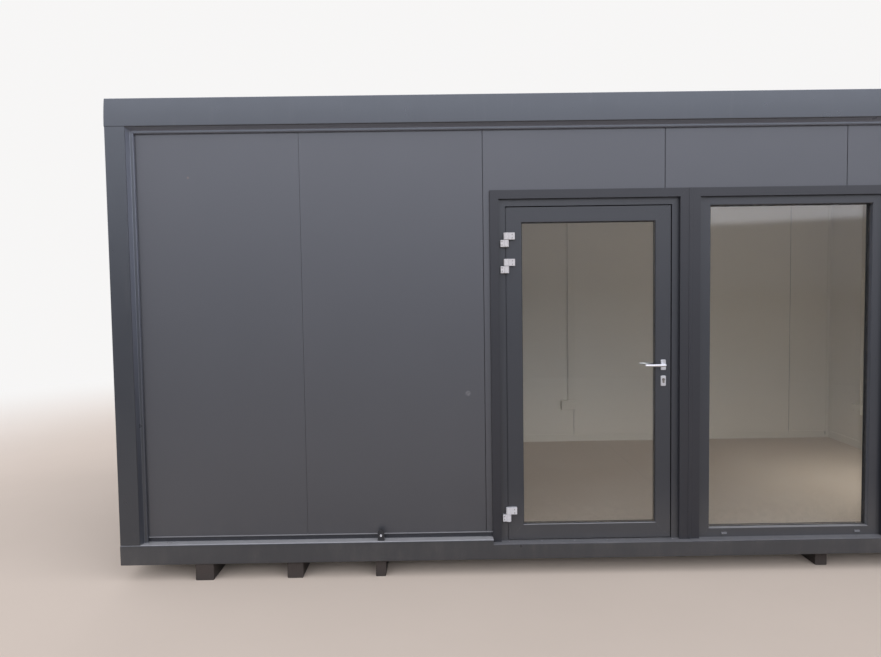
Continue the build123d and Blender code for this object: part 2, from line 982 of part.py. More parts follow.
def cable_trunking():
    """Surface trunking from the ceiling down to the socket box of each run."""
    heights = (floor_level + socket_base + socket_height, panel_head)
    return [box(run_x, run_y, heights) for run_x, run_y in service_runs()]


def socket_boxes():
    back = cabin_width - wall_inside - fitting_play
    right = cabin_length - wall_inside - fitting_play
    middle = cabin_width - wall_inside - end_trunking_inset
    half = socket_width / 2
    heights = (floor_level + socket_base, floor_level + socket_base + socket_height)
    centre = trunking_centre - socket_offset
    rear = box((centre - half, centre + half), (back - socket_depth, back), heights)
    end = box((right - socket_depth, right), (middle - half, middle + half), heights)
    return [
        fillet(rear.faces().sort_by(Axis.Y)[0].edges(), socket_edge_radius),
        fillet(end.faces().sort_by(Axis.X)[0].edges(), socket_edge_radius),
    ]


def floor_skirting():
    """Skirting strips along the three plain walls and the front wall's left part."""
    low = wall_inside
    far_x = cabin_length - wall_inside
    far_y = cabin_width - wall_inside
    heights = (floor_level, panel_foot + skirting_panel_cover)
    thick = skirting_thickness
    door_side = door_frame_left - door_casing_outset()
    window_side = window_frame_right + window_casing_cover
    corner = post_width - rail_depth + thick
    return [
        box((low + corner, far_x - corner), (far_y - thick, far_y), heights),
        box((low, low + thick), (low + corner, far_y - corner), heights),
        box((far_x - thick, far_x), (low + corner, far_y - corner), heights),
        box((low + corner, door_side), (low, low + thick), heights),
        box((window_side, far_x - corner), (low, low + thick), heights),
    ]


def earthing_lug():
    """Small upright lug on the ledge, with the bolt that takes an earth wire."""
    foot = channel_top
    radius = lug_width / 2
    place = Pos(at_x(lug_centre), at_z(foot))
    straight = lug_height - radius
    shape = Pos(0, straight / 2) * Rectangle(lug_width, straight) + Pos(0, straight) * Circle(radius)
    plate = along_y(place * shape, at_y(lug_setback), at_y(lug_setback + lug_thickness))
    sole = box(
        (lug_centre - radius, lug_centre + radius),
        (lug_setback, lug_setback + lug_foot),
        (foot, foot + lug_sole),
    )
    bolt_place = Pos(at_x(lug_centre), at_z(foot + lug_bolt_height))
    head = bolt_place * RegularPolygon(lug_bolt_radius, 6)
    bolt = along_y(head, at_y(lug_setback - lug_bolt_head), at_y(lug_setback))
    return plate + sole + bolt


def timber_blocks():
    """Short lengths of sawn timber under the front and rear base rails."""
    pieces = []
    for centre, width, setback in blocks:
        for near in (setback, cabin_width - setback - block_length):
            block = box(
                (centre - width / 2, centre + width / 2),
                (near, near + block_length),
                (-block_height, 0),
            )
            pieces.append(chamfer(block.edges().filter_by(Axis.Y), block_chamfer))
    return pieces


def write(name, pieces):
    """Write one sub-part, whether it is one solid or several that do not touch."""
    if not isinstance(pieces, (list, tuple)):
        pieces = [pieces]
    solids = [solid for piece in pieces for solid in piece.solids()]
    shape = solids[0] if len(solids) == 1 else Compound(children=solids)
    export_step(shape, os.path.join("parts", name + ".step"))


os.makedirs("parts", exist_ok=True)

for side_name in ("front", "rear", "left", "right"):
    write("base_rail_" + side_name, base_rail(side_name))
    write("roof_rail_" + side_name, roof_rail(side_name))
for end_name, flip_x in (("left", False), ("right", True)):
    write("corner_post_front_" + end_name, corner_post(flip_x, False))
    write("corner_post_rear_" + end_name, corner_post(flip_x, True))
    write(end_name + "_end_panels", end_wall_panels(end_name))

write("base_channels", base_channels())
write("front_wall_left", front_wall_left())
write("front_wall_over_openings", front_wall_over_openings())
write("front_wall_mullion", front_wall_mullion())
write("front_wall_right", front_wall_right())
write("rear_wall_panels", rear_wall_panels())
write("base_drip_flashings", base_drip_flashings())
write("roof_sheet", roof_sheet())
write("ceiling_panels", ceiling_panels())
write("floor_joists", floor_joists())
write("underfloor_sheet", underfloor_sheet())
write("floor_deck", floor_deck())
write("floor_covering", floor_covering())
write("door_trim", door_trim())
write("window_trim", window_trim())
write("trim_cover_strip", trim_cover_strip())
write("door_frame", door_frame())
write("door_stop_casing", door_stop_casing())
write("door_threshold", door_threshold())
write("window_sill_plate", window_sill_plate())
write("window_frame", window_frame())
write("window_glass", window_glass())
write("window_inner_casing", window_inner_casing())
write("window_drain_caps", window_drain_caps())
write("door_leaf", door_leaf())
write("door_glass", door_glass())
write("door_glazing_beads", door_glazing_beads())
write("hinge_frame_parts", hinge_frame_parts())
write("hinge_leaf_parts", hinge_leaf_parts())
write("door_lock_plates", door_lock_plates())
write("lock_cylinder", lock_cylinder())
write("door_lever", door_lever())
write("cable_trunking", cable_trunking())
write("socket_boxes", socket_boxes())
write("floor_skirting", floor_skirting())
write("earthing_lug", earthing_lug())
write("timber_blocks", timber_blocks())
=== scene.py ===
import json
import math

import bmesh
import bpy
from mathutils import Matrix, Vector


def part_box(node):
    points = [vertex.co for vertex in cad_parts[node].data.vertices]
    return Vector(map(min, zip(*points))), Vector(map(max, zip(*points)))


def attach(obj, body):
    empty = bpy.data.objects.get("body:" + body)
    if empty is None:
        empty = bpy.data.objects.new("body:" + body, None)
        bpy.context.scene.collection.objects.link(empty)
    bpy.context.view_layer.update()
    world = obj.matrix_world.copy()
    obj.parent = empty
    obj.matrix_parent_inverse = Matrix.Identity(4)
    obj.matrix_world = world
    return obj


# Portable site cabin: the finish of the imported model, with the ribs, seals, welds and fasteners
# that the model leaves out. Metres: X runs along the cabin, the front faces -Y and Z is up.

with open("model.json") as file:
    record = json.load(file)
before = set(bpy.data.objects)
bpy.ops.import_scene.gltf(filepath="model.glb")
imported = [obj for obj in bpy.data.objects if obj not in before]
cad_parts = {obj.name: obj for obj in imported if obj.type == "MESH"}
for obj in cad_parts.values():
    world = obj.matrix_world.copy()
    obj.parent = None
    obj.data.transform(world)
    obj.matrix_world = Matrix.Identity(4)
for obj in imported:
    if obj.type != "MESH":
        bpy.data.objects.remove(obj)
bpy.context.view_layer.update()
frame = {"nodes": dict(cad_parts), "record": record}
scene = bpy.context.scene
nodes = frame["nodes"]

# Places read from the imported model
left_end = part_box("base_rail_front")[0].x
right_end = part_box("base_rail_front")[1].x
front_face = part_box("base_rail_front")[0].y
rear_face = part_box("base_rail_rear")[1].y
cabin_length = right_end - left_end
cabin_width = rear_face - front_face
frame_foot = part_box("base_rail_front")[0].z
panel_foot, panel_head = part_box("rear_wall_panels")[0].z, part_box("rear_wall_panels")[1].z
wall_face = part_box("front_wall_left")[0].y - front_face
wall_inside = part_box("front_wall_left")[1].y - front_face
floor_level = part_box("floor_covering")[1].z
rail_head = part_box("base_rail_front")[1].z
leaf_low, leaf_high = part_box("door_leaf")
ceiling_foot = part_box("ceiling_panels")[0].z
door_trim_low, door_trim_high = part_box("door_trim")
window_trim_low, window_trim_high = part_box("window_trim")
lug_low, lug_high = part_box("earthing_lug")
post_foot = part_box("corner_post_front_left")[0].z

# Earthing lug: the bolt's head stands out of its plate
bolt_head = 0.006
bolt_height = 0.033
bolt_reach = 0.018
lug_face = lug_low.y + bolt_head
bolt_place = ((lug_low.x + lug_high.x) / 2, lug_low.y, lug_low.z + bolt_height)

# Bounds that tell surfaces apart by their place
room_margin = 0.002
face_margin = 0.005
ledge_margin = 0.002

# Lips of the posts and roof rails, repeated from the model
lip_slope_depth = 0.040
lip_band = 0.019
lip_width = 0.033

# Sizes of the wall panels, repeated from the model
post_width = 0.153
panel_module = 1.100
front_joint_start = 1.130
end_joint_offset = 0.550

# Fine ribs rolled into the outer face of the wall panels
rib_pitch = 0.0185
rib_foot = 0.0120
rib_crest = 0.0050
rib_height = 0.0003
rib_sink = 0.0003
rib_end_margin = 0.004
least_rib_count = 3
joint_margin = 0.003

# Glazing
nib_cover = 0.015
seal_width = 0.003
seal_depth = 0.006
seal_hidden = 0.002
seal_edge = 0.0008
spacer_inset = 0.002
spacer_hidden = 0.003
pane_thickness = 0.004

# Welds and sealant
weld_radius = 0.0028
weld_unevenness = 0.7
weld_step = 0.004
weld_start_depth = 0.004
weld_end_gap = 0.002
sealant_radius = 0.0022
sealant_unevenness = 0.5
sealant_step = 0.03
bead_sides = 7
lumps_per_metre = 160.0

# Round heads: narrower at the face, with a sunk middle
head_sides = 16
head_taper = 0.82
recess_share = 0.55
recess_taper = 0.9
recess_depth = 0.6
head_sink = 0.0002

# Screws of the hinges
screw_radius = 0.0036
screw_height = 0.0014
screw_inset_frame = 0.009
screw_inset_leaf = 0.016
screw_rise = 0.010

# Hinges, repeated from the model: heights of their splits and size of a block
hinge_splits = (1.9435, 1.7855, 0.2620)
hinge_block_height = 0.042
hinge_flag_face = -1.4488

# Screws of the casings and the threshold
casing_screw_inset = 0.018
casing_side_margin = 0.12
casing_side_count = 7
casing_head_margin = 0.15
casing_head_count = 4
threshold_screw_radius = 0.0045
threshold_screw_height = 0.0007
threshold_screw_depth = 0.052
threshold_screw_margin = 0.10
threshold_screw_count = 6

# Socket boxes, repeated from the model, and their outlets
socket_width = 0.150
socket_depth = 0.045
outlet_radius = 0.022
outlet_height = 0.0025
outlet_shares = (0.26, 0.74)

# Rivets of the drip flashings
rivet_radius = 0.0035
rivet_height = 0.0012
rivet_setback = 0.0062
rivet_drop = 0.012
rivet_margin = 0.08
rivet_pitch = 0.45

# Lip of the leaf's profile
leaf_lip_reach = 0.0048
leaf_lip_setback = 0.0015
leaf_lip_thickness = 0.0030
leaf_lip_chamfer = 0.0008
leaf_lip_sink = 0.0005
leaf_lip_end_gap = 0.004

# Keyway: outline in the cylinder's face, from its top
keyway_drop = 0.0035
keyway_sink = 0.0010
keyway_proud = 0.0001
keyway_outline = (
    (-0.0008, 0.0),
    (0.0008, 0.0),
    (0.0008, -0.0030),
    (0.0016, -0.0038),
    (0.0016, -0.0062),
    (0.0007, -0.0070),
    (0.0007, -0.0095),
    (-0.0007, -0.0095),
    (-0.0007, -0.0052),
    (-0.0015, -0.0044),
    (-0.0015, -0.0026),
    (-0.0008, -0.0018),
)

# Where dust, scuffs and damp lie, and the painted sheen and the painted light on the blocks:
# heights or places where they end and start
splash_heights = (0.12, 0.5)
veil_heights = (0.15, 0.6)
sheen_heights = (0.5, 2.6)
spray_height = 0.05
scuff_heights = (floor_level + 0.05, floor_level + 0.5)
glass_foot_heights = (floor_level + 0.1, floor_level + 0.35)
under_roof_heights = (panel_head - 0.041, panel_head - 0.001)
lit_block_places = (1.3, 1.6)
damp_height = 0.05

# Pattern sizes of the zinc, the chipboard and the floor's welded joints
crystals_per_metre = 70.0
chips_per_metre = 220.0
floor_sheet_width = 2.0
floor_weld_place = -0.4
floor_weld_edges = (0.001, 0.0035)

# Refractive index of one surface that mirrors as much as both surfaces of a pane
pane_index = 1.75

# Marks on the outer skin of the front wall
chip_place = (-0.902, -1.436, 1.115)
chip_radius = 0.020
stain_place = (-2.565, -1.436, 2.44)
stain_radius = 0.009

# Studio
stage_reach = 250.0
fade_start = 5.0
fade_end = 12.0
far_start = 3.5
far_end = 11.0
background = (0.93, 0.922, 0.918)
sky_tint = Vector((0.93, 0.95, 1.06))
horizon_level = 0.38
skyline_drop = 0.018
skyline_step = (0.31, 0.36)
room_light_power = 6.6
room_light_spread = 60
room_light_sizes = (1.2, 1.6)
room_light_place = (2.5, -0.6)
room_light_drop = 0.02

# Camera, fitted to the frame's edges and the panel joints: angles in radians, and its place from
# the left end, the front face and the frame's underside
camera_pitch = 0.05254
camera_yaw = 0.00607
camera_roll = -0.01444
camera_offset = (1.9390, -4.1574, 1.6354)
focal_in_pixels = 695.14
image_width = 881.0
sensor_width = 36.0


# Node trees
class Signal:
    """A value that varies over a surface. Arithmetic on it adds Math nodes."""

    def __init__(self, graph, socket):
        self.graph = graph
        self.socket = socket

    def __add__(self, other):
        return self.graph.math("ADD", self, other)

    __radd__ = __add__

    def __sub__(self, other):
        return self.graph.math("SUBTRACT", self, other)

    def __rsub__(self, other):
        return self.graph.math("SUBTRACT", other, self)

    def __mul__(self, other):
        return self.graph.math("MULTIPLY", self, other)

    def __truediv__(self, other):
        return self.graph.math("DIVIDE", self, other)

    def __abs__(self):
        return self.graph.math("ABSOLUTE", self)

    def rises(self, low, high):
        """0 at low and 1 at high, smooth between them."""
        node = self.graph.node(
            "ShaderNodeMapRange",
            {"interpolation_type": "SMOOTHSTEP"},
            {"Value": self, "From Min": low, "From Max": high},
        )
        return Signal(self.graph, node.outputs[0])

    def falls(self, low, high):
        return 1 - self.rises(low, high)


class Graph:
    """A node tree that is built one call at a time."""

    def __init__(self, tree):
        self.tree = tree

    def node(self, kind, settings=None, sockets=None):
        """Add a node: its settings first, then a value or a link for each named socket."""
        made = self.tree.nodes.new(kind)
        for name, value in (settings or {}).items():
            if name == "stops":
                self.set_stops(made.color_ramp, value)
            else:
                setattr(made, name, value)
        for name, value in (sockets or {}).items():
            if isinstance(value, Signal):
                value = value.socket
            if isinstance(value, bpy.types.NodeSocket):
                self.tree.links.new(value, made.inputs[name])
            else:
                made.inputs[name].default_value = value
        return made

    def set_stops(self, ramp, stops):
        while len(ramp.elements) < len(stops):
            ramp.elements.new(1.0)
        for element, (position, colour) in zip(ramp.elements, stops):
            element.position = position
            element.color = (*colour, 1.0)

    def math(self, operation, *terms):
        made = self.node("ShaderNodeMath", {"operation": operation}, dict(enumerate(terms)))
        return Signal(self, made.outputs[0])


class Finish(Graph):
    """One material."""

    def __init__(self, name):
        self.material = bpy.data.materials.new(name)
        self.material.use_nodes = True
        super().__init__(self.material.node_tree)
        self.tree.nodes.clear()
        self.output = self.node("ShaderNodeOutputMaterial")
        self.coordinates = self.node("ShaderNodeTexCoord")
        self.place = self.coordinates.outputs["Object"]
        parts = self.node("ShaderNodeSeparateXYZ", sockets={0: self.place})
        self.x, self.y, self.z = (Signal(self, socket) for socket in parts.outputs)
        facing = self.node("ShaderNodeSeparateXYZ", sockets={0: self.coordinates.outputs["Normal"]})
        self.facing_x, self.facing_y, self.facing_up = (
            Signal(self, socket) for socket in facing.outputs
        )

    def stretched(self, stretch):
        mapped = self.node("ShaderNodeMapping", sockets={"Vector": self.place, "Scale": stretch})
        return mapped.outputs[0]

    def noise(self, size, detail=3.0, roughness=0.55, stretch=None):
        """Soft noise from 0 to 1 whose blobs are about size across."""
        vector = self.stretched(stretch) if stretch else self.place
        made = self.node(
            "ShaderNodeTexNoise",
            sockets={"Vector": vector, "Scale": 1 / size, "Detail": detail, "Roughness": roughness},
        )
        return Signal(self, made.outputs[0])

    def scattered(self, per_metre):
        """Pattern of cells round random points."""
        sockets = {"Vector": self.place, "Scale": per_metre}
        return self.node("ShaderNodeTexVoronoi", sockets=sockets)

    def cells(self, per_metre):
        """A random value for each cell."""
        colour = self.scattered(per_metre).outputs["Color"]
        return Signal(self, self.node("ShaderNodeSeparateXYZ", sockets={0: colour}).outputs[0])

    def spots(self, size, reach):
        """Small round spots in cells of that size, 1 inside and 0 outside."""
        distance = self.scattered(1 / size).outputs["Distance"]
        return Signal(self, distance).falls(reach * 0.6, reach)

    def near(self, point, radius):
        """1 close to a point of the object and 0 past the radius."""
        offset = self.node(
            "ShaderNodeVectorMath",
            {"operation": "DISTANCE"},
            {0: self.place, 1: point},
        )
        return Signal(self, offset.outputs["Value"]).falls(radius * 0.5, radius)

    def mix(self, factor, first, second):
        """Mix of two colours, each a plain colour or a link."""
        made = self.node(
            "ShaderNodeMix",
            {"data_type": "RGBA"},
            {0: factor, 6: self.as_colour(first), 7: self.as_colour(second)},
        )
        return made.outputs[2]

    def as_colour(self, colour):
        return (*colour, 1.0) if isinstance(colour, tuple) else colour

    def bump(self, height, depth, after=None):
        """Bumps of that depth in metres, where height runs from 0 to 1."""
        sockets = {"Height": height, "Distance": depth, "Strength": 1.0}
        if after is not None:
            sockets["Normal"] = after
        return self.node("ShaderNodeBump", sockets=sockets).outputs[0]

    def surface(self, **inputs):
        """Close the tree with a Principled shader. Input names have underscores for spaces."""
        sockets = {name.replace("_", " "): value for name, value in inputs.items()}
        if "Base Color" in sockets:
            sockets["Base Color"] = self.as_colour(sockets["Base Color"])
        shader = self.node("ShaderNodeBsdfPrincipled", sockets=sockets)
        self.tree.links.new(shader.outputs[0], self.output.inputs[0])
        return self.material


# Finishes
film_dust = (0.41, 0.405, 0.40)
road_dust = (0.21, 0.19, 0.165)
# Pale, sky-tinted colour of the painted sheen, a painted reflection on the lips and on the window
# bars' sides
painted_sheen_colour = (0.36, 0.395, 0.48)


def settled_dust(finish, colour, film=0.8, splash=0.12, veil=0.0):
    """Film of dust on what looks up, with rain splash and an even veil near the ground."""
    thickness = 0.7 + finish.noise(0.06, 5.0, 0.7) * 0.45
    lying = finish.facing_up.rises(0.35, 0.9) * thickness * film
    drops = finish.noise(0.11, 6.0, 0.75, (1, 1, 0.4)).rises(0.42, 0.8)
    low = finish.z.falls(*splash_heights) * drops
    even = finish.z.falls(*veil_heights) * veil
    dusty = finish.mix(low * splash + even, colour, road_dust)
    return finish.mix(lying, dusty, film_dust)


def in_room(finish):
    """1 on surfaces inside the room and 0 outside, from their place."""
    reach_x = right_end - wall_inside + room_margin
    reach_y = rear_face - wall_inside + room_margin
    within_x = finish.math("LESS_THAN", abs(finish.x), reach_x)
    return within_x * finish.math("LESS_THAN", abs(finish.y), reach_y)


def in_recess(finish):
    """1 on the lips of the posts and roof rails, which stand back from their outer faces."""
    behind_x = finish.math("LESS_THAN", abs(finish.x), cabin_length / 2 - face_margin)
    behind_y = finish.math("LESS_THAN", abs(finish.y), cabin_width / 2 - face_margin)
    above = finish.math("GREATER_THAN", finish.z, post_foot + ledge_margin)
    return behind_x * behind_y * above


def painted_lip_sheen(finish):
    """Painted sheen on the lips: a pale colour that stands in for reflected light, most of all high
    up and on slopes that face into the recess.
    """
    slopes = finish.facing_up.falls(-0.9, -0.4)
    slopes = slopes + (finish.facing_x * finish.x).falls(-2.2, -1.0)
    slopes = slopes + (finish.facing_y * finish.y).falls(-1.1, -0.5)
    under_roof = finish.z.rises(*under_roof_heights)
    height = finish.z.rises(*sheen_heights)
    # Painted reflection: lighter high up and just under the roof rail
    film = 0.02 + height * 0.06 + under_roof * 0.06
    return in_recess(finish) * (film + slopes * (0.03 + height * 0.26))


def frame_paint():
    """Semi-gloss paint with a slight orange peel, and the lining's colour inside the room."""
    finish = Finish("frame_paint")
    tone = finish.noise(0.6, 4.0)
    paint = finish.mix(tone, (0.0175, 0.0180, 0.0205), (0.0235, 0.0240, 0.0270))
    streaks = finish.noise(0.05, 4.0, 0.6, (1, 1, 0.12)).rises(0.55, 0.8)
    spray = 0.05 + finish.noise(0.3, 5.0) * 0.06
    spray = spray * finish.z.falls(rail_head, rail_head + spray_height)
    paint = finish.mix(spray + streaks * 0.05, paint, road_dust)
    # Painted sheen on the recessed lips of the posts and roof rails, standing in for reflected
    # light
    paint = finish.mix(painted_lip_sheen(finish), paint, painted_sheen_colour)
    peel = finish.bump(finish.noise(0.0035, 2.0), 0.00004)
    dents = finish.bump(finish.noise(0.35, 2.0), 0.0010, peel)
    inside = in_room(finish)
    return finish.surface(
        Base_Color=finish.mix(inside, settled_dust(finish, paint), lining_colour(finish)),
        Roughness=0.25 + finish.noise(0.09, 4.0) * 0.08 + inside * 0.15,
        Specular_IOR_Level=0.97,
        Specular_Tint=(0.87, 0.93, 1.0, 1.0),
        Normal=dents,
    )


def wall_paint():
    """Coil-coated outer skin, with the off-white lining on the room side."""
    finish = Finish("wall_paint")
    tone = finish.noise(0.9, 3.0)
    outside = finish.mix(tone, (0.0220, 0.0225, 0.0255), (0.0265, 0.0270, 0.0300))
    chip = finish.near(chip_place, chip_radius) * finish.noise(0.004, 3.0).rises(0.35, 0.6)
    outside = finish.mix(chip * 0.35, outside, (0.30, 0.30, 0.30))
    stain = finish.near(stain_place, stain_radius)
    outside = finish.mix(stain * 0.6, outside, (0.14, 0.085, 0.055))
    outside = settled_dust(finish, outside, 0.6, 0.08)
    inside = in_room(finish)
    peel = finish.bump(finish.noise(0.0025, 2.0), 0.00003)
    oil_can = finish.bump(finish.noise(0.55, 1.0, stretch=(1, 1, 0.5)), 0.0010, peel)
    return finish.surface(
        Base_Color=finish.mix(inside, outside, lining_colour(finish)),
        Roughness=0.38 + finish.noise(0.3, 3.0) * 0.06 + inside * 0.08,
        Specular_IOR_Level=1.3,
        Specular_Tint=(0.93, 0.95, 1.0, 1.0),
        Normal=oil_can,
    )


def lining_colour(finish):
    """Off-white lining with faint scuffs near the floor."""
    tone = finish.noise(0.7, 3.0)
    colour = finish.mix(tone, (0.79, 0.745, 0.655), (0.83, 0.785, 0.69))
    scuffs = finish.z.falls(*scuff_heights)
    scuffs = scuffs * finish.noise(0.05, 6.0, 0.8, (1, 1, 3)).rises(0.58, 0.75)
    return finish.mix(scuffs * 0.12, colour, (0.35, 0.32, 0.28))


def inner_lining():
    finish = Finish("inner_lining")
    return finish.surface(
        Base_Color=lining_colour(finish),
        Roughness=0.42 + finish.noise(0.2, 3.0) * 0.1,
        Specular_IOR_Level=0.45,
        Normal=finish.bump(finish.noise(0.003, 2.0), 0.00004),
    )


def profile_paint():
    """Powder coat on the aluminium door and window bars, with a fine texture and a painted sheen on
    the window bars' sides.
    """
    finish = Finish("profile_paint")
    tone = finish.noise(0.4, 3.0)
    colour = finish.mix(tone, (0.018, 0.0205, 0.0255), (0.023, 0.0255, 0.0315))
    # Painted sheen: the sides of the window bars that face along X are lighter, standing in for
    # reflected light
    by_window = finish.math("GREATER_THAN", finish.x, window_trim_low.x)
    painted_reveal_sheen = abs(finish.facing_x).rises(0.7, 0.95) * by_window
    colour = finish.mix(painted_reveal_sheen * 0.1, colour, painted_sheen_colour)
    return finish.surface(
        Base_Color=settled_dust(finish, colour, 0.42, 0.05, 0.13),
        Roughness=0.32 + finish.noise(0.05, 4.0) * 0.08,
        Specular_IOR_Level=0.7,
        Normal=finish.bump(finish.noise(0.0012, 2.0), 0.00003),
    )


def trim_paint():
    """Folded steel flashings, a shade darker than the wall."""
    finish = Finish("trim_paint")
    tone = finish.noise(0.5, 3.0)
    colour = finish.mix(tone, (0.0130, 0.0140, 0.0180), (0.0175, 0.0185, 0.0235))
    waves = finish.bump(finish.noise(0.16, 2.0), 0.0004)
    return finish.surface(
        Base_Color=settled_dust(finish, colour, 0.45, 0.08),
        Roughness=0.32 + finish.noise(0.08, 4.0) * 0.08,
        Specular_IOR_Level=0.6,
        Normal=finish.bump(finish.noise(0.0025, 2.0), 0.00003, waves),
    )


def threshold_metal():
    """Painted plate with a film of dust, which feet have scuffed and left muddy."""
    finish = Finish("threshold_metal")
    tone = finish.noise(0.2, 4.0)
    paint = finish.mix(tone, (0.024, 0.025, 0.030), (0.034, 0.035, 0.042))
    paint = settled_dust(finish, paint, 0.28, 0.05)
    wear = finish.noise(0.14, 6.0, 0.7, (0.45, 1, 1)).rises(0.45, 0.72)
    bare = finish.mix(wear * 0.25, paint, (0.30, 0.30, 0.31))
    mud = finish.noise(0.07, 7.0, 0.8).rises(0.5, 0.75) * finish.facing_up.rises(0.3, 0.9)
    return finish.surface(
        Base_Color=finish.mix(mud * 0.35, bare, road_dust),
        Roughness=0.4 + mud * 0.35,
        Metallic=wear * 0.3 * (1 - mud),
        Normal=finish.bump(finish.noise(0.01, 6.0, 0.7), 0.0003),
    )


def roof_metal():
    """Weathered roof sheet, with water marks and grit."""
    finish = Finish("roof_metal")
    tone = finish.noise(0.8, 5.0, 0.65)
    colour = finish.mix(tone, (0.17, 0.18, 0.19), (0.27, 0.28, 0.29))
    marks = finish.noise(0.35, 6.0, 0.7, (1, 0.35, 1)).rises(0.5, 0.7)
    colour = finish.mix(marks * 0.4, colour, (0.13, 0.12, 0.10))
    return finish.surface(
        Base_Color=colour,
        Roughness=0.5 + finish.noise(0.1, 5.0) * 0.2,
        Normal=finish.bump(finish.noise(0.25, 2.0), 0.0008),
    )


def zinc():
    """Hot-dip coating with its crystal pattern."""
    finish = Finish("zinc")
    tone = finish.cells(crystals_per_metre)
    return finish.surface(
        Base_Color=finish.mix(tone, (0.34, 0.35, 0.36), (0.50, 0.51, 0.52)),
        Roughness=0.36 + tone * 0.16,
        Metallic=0.85,
    )


def deck_board():
    """Pressed wood chips."""
    finish = Finish("deck_board")
    tone = finish.cells(chips_per_metre)
    return finish.surface(
        Base_Color=finish.mix(tone, (0.26, 0.17, 0.09), (0.50, 0.38, 0.24)),
        Roughness=0.85,
        Normal=finish.bump(tone, 0.0004),
    )


def floor_vinyl():
    """Beige-grey sheet floor with a fine fleck, welded joints and dust."""
    finish = Finish("floor_vinyl")
    fleck = finish.noise(0.004, 5.0, 0.8)
    colour = finish.mix(fleck, (0.47, 0.385, 0.315), (0.645, 0.54, 0.445))
    clouds = finish.noise(0.5, 5.0, 0.7)
    colour = finish.mix(clouds.rises(0.35, 0.7) * 0.3, colour, (0.66, 0.59, 0.52))
    grit = finish.spots(0.05, 0.045)
    colour = finish.mix(grit * 0.5, colour, (0.12, 0.10, 0.08))
    half_sheet = floor_sheet_width / 2
    across = finish.math("PINGPONG", finish.x - floor_weld_place, half_sheet)
    weld = abs(across - half_sheet).falls(*floor_weld_edges)
    colour = finish.mix(weld * 0.35, colour, (0.20, 0.18, 0.16))
    return finish.surface(
        Base_Color=colour,
        Roughness=0.42 + clouds * 0.2,
        Normal=finish.bump(finish.noise(0.006, 4.0), 0.00008),
    )


def glass():
    """Clear pane that lets light through; its front side mirrors for both of its surfaces."""
    finish = Finish("glass")
    grime = finish.noise(0.3, 5.0, 0.7).rises(0.45, 0.8) * 0.5
    foot = finish.z.falls(*glass_foot_heights)
    haze = 0.006 + grime * 0.015 + foot * finish.noise(0.03, 5.0, 0.8).rises(0.4, 0.7) * 0.04
    clear = finish.node("ShaderNodeBsdfTransparent", sockets={"Color": (0.984, 0.988, 0.98, 1.0)})
    mirror = finish.node("ShaderNodeBsdfAnisotropic", sockets={"Roughness": 0.015})
    dust = finish.node("ShaderNodeBsdfDiffuse", sockets={"Color": (0.45, 0.43, 0.40, 1.0)})
    share = finish.node("ShaderNodeFresnel", sockets={"IOR": pane_index})
    side = finish.node("ShaderNodeNewGeometry")
    outward = 1 - Signal(finish, side.outputs["Backfacing"])
    share = Signal(finish, share.outputs[0]) * outward
    pane = finish.node(
        "ShaderNodeMixShader", sockets={0: share, 1: clear.outputs[0], 2: mirror.outputs[0]}
    )
    dirty = finish.node(
        "ShaderNodeMixShader", sockets={0: haze * outward, 1: pane.outputs[0], 2: dust.outputs[0]}
    )
    finish.tree.links.new(dirty.outputs[0], finish.output.inputs[0])
    return finish.material


def white_trim():
    """Satin white plastic trunking, boxes and skirting."""
    finish = Finish("white_trim")
    tone = finish.noise(0.3, 3.0)
    return finish.surface(
        Base_Color=finish.mix(tone, (0.76, 0.725, 0.645), (0.82, 0.785, 0.70)),
        Roughness=0.38 + finish.noise(0.04, 4.0) * 0.12,
        Normal=finish.bump(finish.noise(0.002, 2.0), 0.00003),
    )


def hinge_white():
    """Light grey painted hinge covers."""
    finish = Finish("hinge_white")
    tone = finish.noise(0.02, 4.0)
    smudge = finish.noise(0.012, 5.0, 0.7).rises(0.5, 0.8)
    colour = finish.mix(tone, (0.47, 0.46, 0.46), (0.56, 0.55, 0.55))
    return finish.surface(
        Base_Color=finish.mix(smudge * 0.3, colour, (0.26, 0.25, 0.24)),
        Roughness=0.35 + smudge * 0.2,
        Normal=finish.bump(finish.noise(0.0015, 2.0), 0.00003),
    )


def handle_metal():
    """Satin anodised aluminium with a fine brushed grain."""
    finish = Finish("handle_metal")
    grain = finish.noise(0.002, 3.0, 0.6, (0.08, 1, 1))
    tone = finish.noise(0.03, 3.0)
    return finish.surface(
        Base_Color=finish.mix(tone, (0.70, 0.70, 0.72), (0.80, 0.80, 0.81)),
        Metallic=0.9,
        Roughness=0.24 + grain * 0.14,
        Normal=finish.bump(grain, 0.00003),
    )


def lock_brass():
    """Nickel-plated cylinder."""
    finish = Finish("lock_nickel")
    grain = finish.noise(0.0015, 3.0)
    return finish.surface(
        Base_Color=finish.mix(grain, (0.20, 0.19, 0.17), (0.32, 0.30, 0.27)),
        Metallic=1.0,
        Roughness=0.3 + grain * 0.2,
    )


def black_plastic():
    """Dark coated lug, whose bolt head is bare zinc."""
    finish = Finish("black_plastic")
    tone = finish.noise(0.01, 4.0)
    coat = finish.mix(tone, (0.010, 0.010, 0.011), (0.020, 0.020, 0.022))
    bolt = finish.near(bolt_place, bolt_reach) * finish.y.falls(lug_face - 0.0008, lug_face)
    return finish.surface(
        Base_Color=finish.mix(bolt, coat, (0.60, 0.60, 0.60)),
        Roughness=0.5 + tone * 0.15 - bolt * 0.15,
        Metallic=bolt * 0.3,
        Normal=finish.bump(finish.noise(0.001, 2.0), 0.00005),
    )


def black_rubber():
    """Glazing seals and sealant, a little dusty."""
    finish = Finish("black_rubber")
    tone = finish.noise(0.05, 5.0, 0.7)
    return finish.surface(
        Base_Color=finish.mix(tone.rises(0.4, 0.8), (0.010, 0.010, 0.011), (0.045, 0.043, 0.040)),
        Roughness=0.62 + tone * 0.15,
        Normal=finish.bump(finish.noise(0.0015, 2.0), 0.00004),
    )


